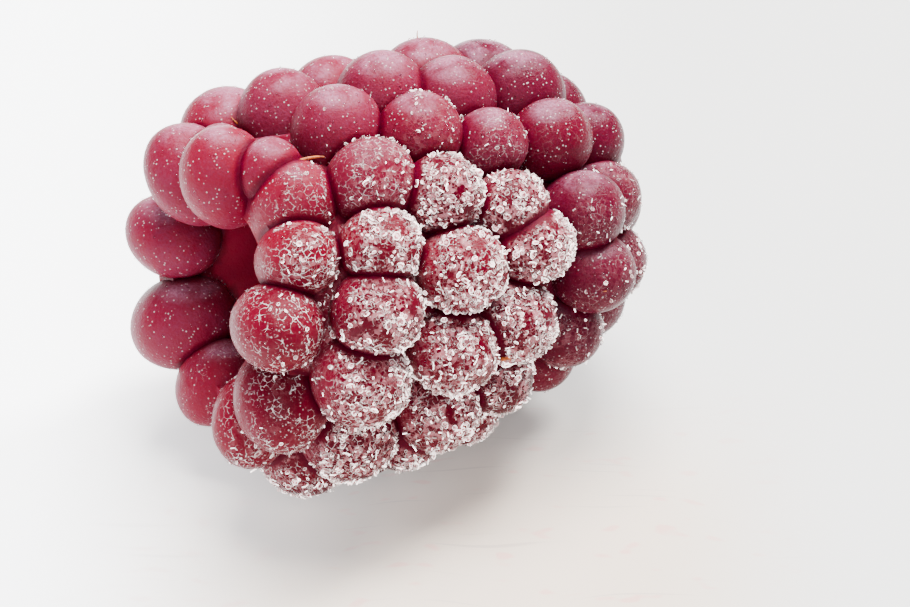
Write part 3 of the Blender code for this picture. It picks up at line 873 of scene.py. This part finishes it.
@dataclass
class Flesh:
    """The drupelets and the wall round the hollow, fused in one body.

    A name that ends in "by" or "off" is where something starts and where it is full.
    """

    drupelets: list[Drupelet]
    fineness: int = 4
    wall_sides: int = 96
    wall_outside: tuple[tuple[float, float], ...] = (
        (1.2, 5.5), (3.2, 6.0), (6.0, 6.35), (9.0, 6.35),
        (12.0, 5.85), (14.6, 5.0), (16.9, 3.5), (18.4, 1.6), (18.8, 0.0),
    )
    wall_hollow: tuple[tuple[float, float], ...] = (
        (1.2, 4.3), (2.7, 4.45), (4.4, 4.35), (6.1, 4.2), (7.8, 3.95), (9.5, 3.6),
        (11.2, 3.0), (12.6, 2.1), (13.5, 1.1), (13.8, 0.0),
    )
    outside_rows: int = 24
    hollow_rows: int = 56
    doubled: float = 1e-7
    pillow_height: float = 0.32 * MM
    pillow_reach: float = 1.35 * MM
    warp_size: float = 2.2 * MM
    warp_depth: float = 0.16 * MM
    crease_width: float = 0.5 * MM
    lining_off: tuple[float, float] = (0.12 * MM, 0.3 * MM)
    sheltered_by: tuple[float, float] = (0.4, 0.85)
    iced_by: tuple[float, float] = (0.25, 0.6)
    # Where a face counts as looking up, for the painted sheen.
    painted_sheen_by: tuple[float, float] = (0.76, 1.0)
    web_rubs: float = 0.9
    shelter_keeps: dict[str, float] = field(default_factory=lambda: {"bare": 0.25, "web": 0.8, "ice": 0.6})
    sharp: float = math.radians(32.0)
    floor_block: float = 60.0 * MM
    bloom_faces: Vector = field(default_factory=lambda: Vector((-0.9, 0.35, 0.25)))

    def profile(self, points: Sequence[tuple[float, float]], rows: int) -> np.ndarray:
        """A smooth line through a turned profile.

        Args:
            points: The profile's (station, radius) points, in millimetres.
            rows: How many points the line has.

        Returns:
            Stations and radii in metres, evenly spaced along the line.
        """
        given = np.array(points) * MM
        steps = np.concatenate(([0.0], np.cumsum(np.linalg.norm(np.diff(given, axis=0), axis=1))))
        slopes = np.gradient(given, steps, axis=0)
        even = np.linspace(0.0, steps[-1], rows)
        part = np.clip(np.searchsorted(steps, even, side="right") - 1, 0, len(steps) - 2)
        span = (steps[part + 1] - steps[part])[:, None]
        share = ((even - steps[part])[:, None]) / span
        start, end = given[part], given[part + 1]
        leave, arrive = slopes[part] * span, slopes[part + 1] * span
        line = (
            (2 * share**3 - 3 * share**2 + 1) * start + (share**3 - 2 * share**2 + share) * leave
            + (-2 * share**3 + 3 * share**2) * end + (share**3 - share**2) * arrive
        )
        line[:, 1] = np.maximum(line[:, 1], 0.0)
        return line

    def turned(self, shape: bmesh.types.BMesh, line: np.ndarray, pillows: bool) -> list[bmesh.types.BMVert]:
        """Turn a line round the berry's axis.

        Args:
            shape: The mesh that gets the surface.
            line: Its stations and radii, ending on the axis.
            pillows: Whether the drupelets swell it from behind.

        Returns:
            The first row of points, which is the surface's open rim.
        """
        plan = BerryPlan()
        backs = np.array([plan.place.inverted() @ one.centre for one in self.drupelets])
        rows = []
        for station, radius in line[:-1]:
            ring = []
            for i in range(self.wall_sides):
                angle = 2.0 * math.pi * i / self.wall_sides
                point = BerryPlan.round_the_axis(station, radius, angle)
                if pillows:
                    point = self.swollen(point, station, radius, backs)
                ring.append(shape.verts.new(plan.place @ point))
            rows.append(ring)
        rows.append([shape.verts.new(plan.place @ Vector((line[-1][0], 0.0, 0.0)))])
        for upper, lower in zip(rows, rows[1:]):
            for i in range(self.wall_sides):
                j = (i + 1) % self.wall_sides
                if len(lower) == 1:
                    shape.faces.new((upper[i], upper[j], lower[0]))
                else:
                    shape.faces.new((upper[i], upper[j], lower[j], lower[i]))
        return rows[0]

    def swollen(self, point: Vector, station: float, radius: float, backs: np.ndarray) -> Vector:
        """A point of the hollow's wall, pushed in by the nearest drupelet behind it.

        Args:
            point: The point on the plain wall, in the berry's own axes.
            station: Its station.
            radius: Its distance from the axis.
            backs: The drupelets' centres, in the berry's own axes.

        Returns:
            The point on the swollen wall.
        """
        reach = np.maximum(np.hypot(backs[:, 1], backs[:, 2]), MM)
        feet = np.stack((backs[:, 0], backs[:, 1] / reach * radius, backs[:, 2] / reach * radius), axis=1)
        away = np.linalg.norm(feet - np.array(point), axis=1).min()
        swell = self.pillow_height * max(0.0, 1.0 - (away / self.pillow_reach) ** 2)
        shrink = max(0.0, radius - swell) / radius
        return Vector((station, point.y * shrink, point.z * shrink))

    def wall(self) -> bpy.types.Object:
        """The cup that joins the drupelets, with a pillow behind each in its hollow."""
        shape = bmesh.new()
        outside = self.turned(shape, self.profile(self.wall_outside, self.outside_rows), pillows=False)
        hollow = self.turned(shape, self.profile(self.wall_hollow, self.hollow_rows), pillows=True)
        for i in range(self.wall_sides):
            j = (i + 1) % self.wall_sides
            shape.faces.new((outside[i], outside[j], hollow[j], hollow[i]))
        bmesh.ops.recalc_face_normals(shape, faces=shape.faces)
        bmesh.ops.triangulate(shape, faces=shape.faces)
        return add_piece("wall", mesh_from("wall", shape))

    def floor_cutter(self) -> bpy.types.Object:
        """The block under the surface that the berry rests on."""
        shape = bmesh.new()
        bmesh.ops.create_cube(shape, size=self.floor_block)
        shape.transform(Matrix.Translation((0.0, 0.0, -self.floor_block / 2.0)))
        return add_piece("floor_cutter", mesh_from("floor_cutter", shape))

    def fused(self, material: bpy.types.Material) -> bpy.types.Mesh:
        """Fuse the drupelets and the wall by Geometry Nodes, and press the underside flat."""
        wall, cutter = self.wall(), self.floor_cutter()
        turns = [one.axes.to_quaternion() for one in self.drupelets]
        centres, halves = [one.centre for one in self.drupelets], [one.half for one in self.drupelets]
        places = add_places("drupelet_places", centres, turns, halves)
        growth = Growth("fused_drupelets", {
            "Fineness": self.fineness,
            "Warp size": self.warp_size,
            "Warp depth": self.warp_depth,
            "Wall": wall,
            "Floor": cutter,
            "Skin": material,
        })
        egg = growth.step("MeshIcoSphere", {"Radius": 1.0, "Subdivisions": growth.size("Fineness")})
        eggs = growth.planted(egg)
        cup = growth.step("ObjectInfo", {"Object": growth.size("Wall")}, "Geometry")
        both = growth.node("GeometryNodeJoinGeometry")
        for part in (eggs, cup):
            growth.plug(both.inputs[0], part)
        one = growth.step("MeshBoolean", {"Mesh 2": both.outputs[0]}, operation="UNION", solver="MANIFOLD")
        spot, scale = growth.step("InputPosition"), 1.0 / growth.size("Warp size")
        warp = growth.out("ShaderNodeTexNoise", {"Vector": spot, "Scale": scale, "Detail": 1.0}, "Color")
        middle = growth.out("ShaderNodeVectorMath", {0: warp, 1: (0.5, 0.5, 0.5)}, operation="SUBTRACT")
        push = growth.scaled(middle, growth.size("Warp depth"))
        pressed = growth.step("MeshBoolean", {
            "Mesh 1": growth.step("SetPosition", {"Geometry": one, "Offset": push}),
            "Mesh 2": growth.step("ObjectInfo", {"Object": growth.size("Floor")}, "Geometry"),
        }, operation="DIFFERENCE", solver="MANIFOLD")
        growth.close(growth.step("Triangulate", {"Mesh": pressed}), growth.size("Skin"))
        made = growth.grow("raspberry_flesh", places)
        for helper in (wall, cutter, places):
            bpy.data.objects.remove(helper, do_unlink=True)
        return made

    def settle_in_frame(self, mesh: bpy.types.Mesh) -> None:
        """Move the mesh and the drupelets' centres sideways so that they fit the solid's box."""
        low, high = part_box("raspberry")
        points = rows_of(mesh.vertices, "co")
        middle = (points.min(axis=0) + points.max(axis=0)) / 2.0
        move = Vector(((low.x + high.x) / 2.0 - middle[0], (low.y + high.y) / 2.0 - middle[1], 0.0))
        mesh.transform(Matrix.Translation(move))
        for one in self.drupelets:
            one.centre = one.centre + move
        LOG.info("the flesh moved by %.3f and %.3f mm", move.x / MM, move.y / MM)

    def clear_scraps(self, mesh: bpy.types.Mesh) -> None:
        """Drop any body that isn't the berry's own, and merge doubled points."""
        shape = bmesh.new()
        shape.from_mesh(mesh)
        bmesh.ops.remove_doubles(shape, verts=shape.verts, dist=self.doubled)
        left = set(shape.faces)
        groups = []
        while left:
            group, front = [], [left.pop()]
            while front:
                face = front.pop()
                group.append(face)
                for edge in face.edges:
                    for near in edge.link_faces:
                        if near in left:
                            left.remove(near)
                            front.append(near)
            groups.append(group)
        groups.sort(key=len)
        for group in groups[:-1]:
            bmesh.ops.delete(shape, geom=group, context="FACES")
        loose = [vertex for vertex in shape.verts if not vertex.link_faces]
        bmesh.ops.delete(shape, geom=loose, context="VERTS")
        shape.to_mesh(mesh)
        shape.free()
        LOG.info("the flesh has %d bodies besides its own, which are dropped", len(groups) - 1)

    def distances(self, points: np.ndarray) -> np.ndarray:
        """How far each point is outside each drupelet.

        Args:
            points: The points, one row each.

        Returns:
            Distances in metres, a row for each point and a column for each drupelet.
        """
        away = np.empty((len(points), len(self.drupelets)))
        for k, one in enumerate(self.drupelets):
            local = (points - np.array(one.centre)) @ np.array(one.axes)
            away[:, k] = (np.linalg.norm(local / np.array(one.half), axis=1) - 1.0) * min(one.half)
        return away

    def learn(self, mesh: bpy.types.Mesh) -> None:
        """Store at each point how near a crease it is, how deep its red is, partly as painted shade, how much
        it faces up, its bloom and its ice.
        """
        points, normals = rows_of(mesh.vertices, "co"), rows_of(mesh.vertex_normals, "vector")
        away = self.distances(points)
        order = np.argpartition(away, 1, axis=1)[:, :2]
        rows = np.arange(len(points))[:, None]
        pair = away[rows, order]
        nearest = np.where(pair[:, 0] <= pair[:, 1], order[:, 0], order[:, 1])
        gap = np.abs(pair[:, 1] - pair[:, 0])
        lining = smooth_step(pair.min(axis=1), *self.lining_off)
        crown = smooth_step(gap, 0.0, self.crease_width) * (1.0 - lining)
        sheltered = smooth_step(normals @ np.array(self.bloom_faces), *self.sheltered_by)
        tone, film, web, ice = (
            np.array([getattr(one, key) for one in self.drupelets])[nearest]
            for key in ("tone", "film", "web", "ice")
        )
        iced = smooth_step(ice, *self.iced_by)
        keeps = {key: 1.0 - share * sheltered for key, share in self.shelter_keeps.items()}
        bare = np.maximum(iced, self.web_rubs * web) * keeps["bare"]
        for name, values in {
            "crown": crown,
            "lining": lining * self.inward(points, normals),
            "tone": tone,
            # How much each point faces up: where the painted sheen goes.
            "sky": smooth_step(normals[:, 2], *self.painted_sheen_by) * crown * (1.0 - iced) * (1.0 - web),
            "film": film * (1.0 - bare) * (1.0 - lining),
            "web": web * keeps["web"] * (1.0 - lining),
            "ice": ice * keeps["ice"] * (1.0 - lining),
        }.items():
            carry(mesh, name, values)

    def inward(self, points: np.ndarray, normals: np.ndarray) -> np.ndarray:
        """1 where the surface faces the berry's axis, as in the hollow, and 0 elsewhere."""
        back = np.array(BerryPlan().place.inverted().to_3x3())
        local, facing = points @ back.T, normals @ back.T
        centre = np.array([one.centre for one in self.drupelets]) @ back.T
        sideways = local[:, 1:] - centre[:, 1:].mean(axis=0)
        reach = np.maximum(np.linalg.norm(sideways, axis=1), MM / 10.0)
        return smooth_step(-(sideways * facing[:, 1:]).sum(axis=1) / reach, -0.2, 0.3)

    def build(self, finish: FleshFinish) -> bpy.types.Object:
        """Make the berry's flesh.

        Args:
            finish: Its finish.

        Returns:
            The piece, which stands for the berry's solid.
        """
        mesh = self.fused(finish.material())
        self.clear_scraps(mesh)
        self.settle_in_frame(mesh)
        self.learn(mesh)
        mesh.shade_smooth()
        mesh.set_sharp_from_angle(angle=self.sharp)
        piece = add_piece("raspberry_flesh", mesh)
        hand_over(piece, ["raspberry"])
        return piece


# The ice

class Habit(Enum):
    """The forms that the ice takes."""

    PLATE = "plate"
    COLUMN = "column"
    GRAIN = "grain"


@dataclass(frozen=True)
class Crop:
    """One crop of crystals: their form, how close they stand and how large they grow."""

    name: str
    habit: Habit
    spacing: float
    width: tuple[float, float]
    length: tuple[float, float]
    tilt: float
    lift: float
    needs: float
    bare: float
    seed: int


@dataclass
class Ice:
    """The crystals on the flesh."""

    flesh: bpy.types.Object
    patch_size: float = 0.9 * MM
    dry_height: tuple[float, float] = (0.2 * MM, 0.6 * MM)
    crowding: float = 1.6
    crops: tuple[Crop, ...] = (
        Crop("frost_plates", Habit.PLATE, 0.15 * MM, (0.06 * MM, 0.12 * MM), (0.02 * MM, 0.04 * MM),
             math.radians(60.0), 0.035 * MM, 0.22, 0.36, 11),
        Crop("frost_wide_plates", Habit.PLATE, 0.32 * MM, (0.12 * MM, 0.2 * MM), (0.02 * MM, 0.05 * MM),
             math.radians(50.0), 0.045 * MM, 0.3, 0.5, 14),
        Crop("frost_columns", Habit.COLUMN, 0.24 * MM, (0.015 * MM, 0.03 * MM), (0.1 * MM, 0.28 * MM),
             math.radians(70.0), 0.04 * MM, 0.25, 0.4, 12),
        Crop("frost_grains", Habit.GRAIN, 0.15 * MM, (0.03 * MM, 0.065 * MM), (0.03 * MM, 0.065 * MM),
             math.radians(180.0), 0.02 * MM, 0.0, 0.3, 13),
    )

    def crystal(self, growth: Growth, habit: Habit) -> bpy.types.NodeSocket:
        """One crystal of a habit, 1 across its half width and 1 long, with its rim marked unless it is a
        grain.

        Args:
            growth: The tree that it is made in.
            habit: Its form.

        Returns:
            The crystal's geometry.
        """
        if habit is Habit.GRAIN:
            bead = growth.step("MeshIcoSphere", {"Radius": 1.0, "Subdivisions": 1})
            return growth.step("SetShadeSmooth", {"Geometry": bead})
        sides = {"Vertices": 6, "Side Segments": 1, "Radius": 1.0, "Depth": 1.0}
        prism = growth.step("MeshCylinder", sides, fill_type="TRIANGLE_FAN")
        x, y, z = growth.parts(growth.step("InputPosition"))
        rim = (x * x + y * y) ** 0.5
        sunken = growth.vector(x, y, z * (0.4 + 0.6 * rim))
        marked = growth.marked(prism, "rim", rim, "POINT")
        return growth.step("SetPosition", {"Geometry": marked, "Position": sunken})

    def cover(self, growth: Growth, crop: Crop) -> Signal:
        """Where a crop stands: on the icy crowns, in patches, and not in the creases."""
        spot = growth.step("InputPosition")
        inputs = {"Vector": spot, "Scale": 1.0 / self.patch_size, "Detail": 2.0}
        patches = growth.value("ShaderNodeTexNoise", inputs)
        wanted = (growth.carried("ice") - growth.size("Needs")) * (1.0 / (1.0 - crop.needs))
        crown = growth.carried("crown").rise(crop.bare, 0.95)
        dry = growth.parts(spot)[2].rise(*self.dry_height)
        return wanted.clamped() * crown * patches.rise(0.38, 0.6) * dry

    def crop_tree(self, crop: Crop, material: bpy.types.Material) -> Growth:
        """The tree that grows one crop over the flesh.

        Args:
            crop: The crop.
            material: The ice.

        Returns:
            The tree, which has yet to be run.
        """
        growth = Growth(crop.name, {
            "Spacing": crop.spacing,
            "Least width": crop.width[0],
            "Most width": crop.width[1],
            "Least length": crop.length[0],
            "Most length": crop.length[1],
            "Tilt": crop.tilt,
            "Lift": crop.lift,
            "Needs": crop.needs,
            "Seed": crop.seed,
            "Ice": material,
        })
        seed, tilt = growth.size("Seed"), growth.size("Tilt")
        spread = growth.node("GeometryNodeDistributePointsOnFaces", {
            "Mesh": growth.host,
            "Distance Min": growth.size("Spacing"),
            "Density Max": self.crowding / crop.spacing**2,
            "Density Factor": self.cover(growth, crop),
            "Seed": seed,
        }, distribute_method="POISSON")
        lean = growth.vector(
            growth.chance(-1.0, 1.0, seed + 1) * tilt,
            growth.chance(-1.0, 1.0, seed + 2) * tilt,
            growth.chance(0.0, 2.0 * math.pi, seed + 3),
        )
        turn = growth.out("FunctionNodeRotateRotation", {
            "Rotation": spread.outputs["Rotation"],
            "Rotate By": growth.out("FunctionNodeEulerToRotation", {"Euler": lean}),
        }, rotation_space="LOCAL")
        wide = growth.chance(growth.size("Least width"), growth.size("Most width"), seed + 4)
        long = growth.chance(growth.size("Least length"), growth.size("Most length"), seed + 5)
        squash = wide * growth.chance(0.55, 1.0, seed + 6)
        rise = growth.scaled(spread.outputs["Normal"], growth.size("Lift"))
        stand = growth.step("InstanceOnPoints", {
            "Points": growth.step("SetPosition", {"Geometry": spread.outputs["Points"], "Offset": rise}),
            "Instance": self.crystal(growth, crop.habit),
            "Rotation": turn,
            "Scale": growth.vector(wide, squash, long),
        })
        glinting = growth.marked(stand, "glint", growth.chance(0.0, 1.0, seed + 7), "INSTANCE")
        growth.close(glinting, growth.size("Ice"))
        return growth

    def build(self, frosty: IceFinish, clear: BeadFinish) -> list[bpy.types.Object]:
        """Grow every crop.

        Args:
            frosty: The finish of the plates and columns.
            clear: The finish of the beads.

        Returns:
            The pieces, one for each crop.
        """
        materials = {Habit.PLATE: frosty.material(), Habit.GRAIN: clear.material()}
        materials[Habit.COLUMN] = materials[Habit.PLATE]
        pieces = []
        for crop in self.crops:
            mesh = self.crop_tree(crop, materials[crop.habit]).grow(crop.name, self.flesh)
            piece = add_piece(crop.name, mesh)
            hand_over(piece, ["frost"])
            pieces.append(piece)
        return pieces


# The dried styles

@dataclass(frozen=True)
class Spot:
    """A style's place: the drupelets that it stands between, how it lies and how long it is."""

    among: tuple[tuple[int, int], ...]
    out: float
    aim: tuple[float, float, float]
    length: float


@dataclass
class Styles:
    """The dried hairs that the flower left, one here and there in the creases.

    Slimness and bend are shares of a hair's length, and narrowing of its half width.
    """

    drupelets: list[Drupelet]
    flesh: bpy.types.Object
    seed: int = 23
    seen: tuple[Spot, ...] = (
        Spot(((7, 0), (0, 2), (1, 4), (0, 2)), 1.1 * MM, (0.85, -0.52, 0.2), 1.05 * MM),
        Spot(((0, 3), (7, 0)), 1.3 * MM, (0.1, 0.2, -0.9), 0.9 * MM),
        Spot(((2, 0), (2, 0), (3, 0), (3, 0), (3, 13)), 1.25 * MM, (-0.15, -0.8, 0.5), 1.1 * MM),
        Spot(((3, 1), (4, 1), (4, 0)), 1.6 * MM, (0.5, -0.5, 0.3), 0.6 * MM),
    )
    others: int = 6
    others_root: tuple[float, float] = (0.1 * MM, 0.3 * MM)
    others_spread: float = 0.5
    others_above: float = 3.5 * MM
    others_behind: float = 3.0 * MM
    others_length: tuple[float, float] = (0.45 * MM, 0.8 * MM)
    slimness: float = 0.075
    bend: float = 0.18
    narrowing: float = 0.6
    ray_height: float = 5.0 * MM

    def outward(self, among: Sequence[Drupelet]) -> Vector:
        """The direction away from the berry between some drupelets."""
        total = Vector((0.0, 0.0, 0.0))
        for one in among:
            total += one.axes.col[2]
        return total.normalized()

    @staticmethod
    def middle(among: Sequence[Drupelet]) -> Vector:
        """The middle of some drupelets' centres."""
        return sum((one.centre for one in among), Vector((0.0, 0.0, 0.0))) / len(among)

    def other_spots(self) -> list[Spot]:
        """More styles on the far side by seeded draws, each rooted among three drupelets."""
        draw = random.Random(self.seed)
        mesh = self.flesh.data
        skin = BVHTree.FromPolygons([v.co for v in mesh.vertices], [tuple(f.vertices) for f in mesh.polygons])
        hidden = [
            one for one in self.drupelets
            if 1 <= one.ring <= 4 and one.centre.z > self.others_above and one.centre.y > self.others_behind
        ]
        spots = []
        for one in draw.sample(hidden, self.others):
            near = sorted(self.drupelets, key=lambda other: (other.centre - one.centre).length)[:3]
            outward, middle = self.outward(near), self.middle(near)
            aim = outward + Vector([draw.uniform(-self.others_spread, self.others_spread) for _ in range(3)])
            on_skin = skin.ray_cast(middle + outward * self.ray_height, -outward)[0]
            out = (on_skin - middle).length - draw.uniform(*self.others_root)
            keys = tuple(drupelet.key for drupelet in near)
            spots.append(Spot(keys, out, tuple(aim), draw.uniform(*self.others_length)))
        return spots

    def places(self) -> bpy.types.Object:
        """A point for each style, which carries its turn and its length."""
        by_key = {one.key: one for one in self.drupelets}
        points, turns, sizes = [], [], []
        for spot in [*self.seen, *self.other_spots()]:
            among = [by_key[key] for key in spot.among]
            points.append(self.middle(among) + self.outward(among) * spot.out)
            turns.append(Vector(spot.aim).to_track_quat("Z", "Y"))
            sizes.append((spot.length,) * 3)
        return add_places("style_places", points, turns, sizes)

    def build(self, finish: StyleFinish) -> bpy.types.Object:
        """Make the styles by Geometry Nodes: a bent and tapered tube at each place.

        Args:
            finish: Their finish.

        Returns:
            The piece.
        """
        growth = Growth("dried_styles", {
            "Bend": self.bend, "Slimness": self.slimness, "Brown": finish.material(),
        })
        line = growth.step("CurveQuadraticBezier", {
            "Resolution": 7,
            "Start": (0.0, 0.0, 0.0),
            "Middle": growth.vector(growth.size("Bend"), 0.0, 0.5),
            "End": (0.0, 0.0, 1.0),
        })
        along = growth.value("GeometryNodeSplineParameter")
        ring = growth.step("CurvePrimitiveCircle", {"Resolution": 6, "Radius": growth.size("Slimness")})
        taper = 1.0 - self.narrowing * along * along
        inputs = {"Curve": line, "Profile Curve": ring, "Scale": taper, "Fill Caps": True}
        hair = growth.step("CurveToMesh", inputs)
        growth.close(growth.planted(hair), growth.size("Brown"))
        places = self.places()
        mesh = growth.grow("dried_styles", places)
        bpy.data.objects.remove(places, do_unlink=True)
        mesh.shade_smooth()
        piece = add_piece("dried_styles", mesh)
        hand_over(piece)
        return piece


# Light, floor and camera

@dataclass(frozen=True)
class Lamp:
    """A square soft light that faces the berry.

    Right, nearer and up give its direction from the berry as the camera sees it, level
    apart from up. Reach scales it to metres, size is its side, and power is in watts.
    """

    name: str
    right: float
    nearer: float
    up: float
    reach: float
    size: float
    power: float
    colour: Colour


@dataclass
class Studio:
    """A pale floor, soft light from above, the right and the front, and the photograph's view."""

    azimuth: float = math.radians(-31.5)
    elevation: float = math.radians(34.5)
    lens: float = 180.0
    sensor: float = 36.0
    distance: float = 0.1882
    centre: Vector = field(default_factory=lambda: Vector((0.0, 0.0, 8.0 * MM)))
    aside: float = 1.88 * MM
    below: float = 1.84 * MM
    floor_half: float = 2.0
    sky_colour: Colour = (0.93, 0.96, 1.0)
    sky_strength: float = 0.29
    lamps: tuple[Lamp, ...] = (
        Lamp("key", 0.05, -0.15, 0.95, 0.35, 0.2, 5.9, (1.0, 0.98, 0.95)),
        Lamp("side", 0.6, -0.45, 0.75, 0.4, 0.09, 4.4, (1.0, 0.98, 0.95)),
        Lamp("fill", 0.05, 0.85, 0.6, 0.4, 0.3, 1.6, (0.95, 0.97, 1.0)),
    )

    def axes(self) -> tuple[Vector, Vector, Vector]:
        """The view's right, up and back directions."""
        a, e = self.azimuth, self.elevation
        back = Vector((math.sin(a) * math.cos(e), -math.cos(a) * math.cos(e), math.sin(e)))
        right = Vector((math.cos(a), math.sin(a), 0.0))
        return right, back.cross(right), back

    def camera(self) -> None:
        """The camera, at the photograph's viewing angle."""
        right, up, back = self.axes()
        target = self.centre + right * self.aside - up * self.below
        lens = bpy.data.cameras.new("camera")
        lens.lens = self.lens
        lens.sensor_width = self.sensor
        lens.clip_start = 1.0 * MM
        made = bpy.data.objects.new("camera", lens)
        turn = Matrix((right, up, back)).transposed().to_4x4()
        made.matrix_world = Matrix.Translation(target + back * self.distance) @ turn
        bpy.context.scene.collection.objects.link(made)
        bpy.context.scene.camera = made

    def light(self, lamp: Lamp) -> None:
        """Add one of the lights."""
        right, _, back = self.axes()
        level = Vector((back.x, back.y, 0.0)).normalized()
        towards = right * lamp.right + level * lamp.nearer + Vector((0.0, 0.0, lamp.up))
        place = self.centre + towards * lamp.reach
        light = bpy.data.lights.new(lamp.name, "AREA")
        light.size, light.energy, light.color = lamp.size, lamp.power, lamp.colour
        made = bpy.data.objects.new(lamp.name, light)
        made.location = place
        made.rotation_euler = (self.centre - place).to_track_quat("-Z", "Y").to_euler()
        bpy.context.scene.collection.objects.link(made)

    def sky(self) -> None:
        """Even light from all round."""
        world = bpy.data.worlds.new("sky")
        world.use_nodes = True
        background = world.node_tree.nodes["Background"]
        background.inputs["Color"].default_value = (*self.sky_colour, 1.0)
        background.inputs["Strength"].default_value = self.sky_strength
        bpy.context.scene.world = world

    def floor(self, finish: FloorFinish) -> None:
        """The surface that the berry lies on."""
        shape = bmesh.new()
        bmesh.ops.create_grid(shape, x_segments=1, y_segments=1, size=self.floor_half)
        mesh = mesh_from("floor", shape)
        mesh.materials.append(finish.material())
        add_piece("floor", mesh)

    def build(self) -> None:
        """Set up the studio."""
        self.camera()
        self.floor(FloorFinish())
        self.sky()
        for lamp in self.lamps:
            self.light(lamp)


def main() -> None:
    """Build the camera, the berry, its ice and the studio, in that order."""
    logging.basicConfig(level=logging.INFO, format="%(name)s: %(message)s")
    Studio().build()
    drupelets = BerryPlan().drupelets()
    Weather().settle(drupelets)
    flesh = Flesh(drupelets).build(FleshFinish())
    Ice(flesh).build(IceFinish(), BeadFinish())
    Styles(drupelets, flesh).build(StyleFinish())


if __name__ == "__main__":
    main()
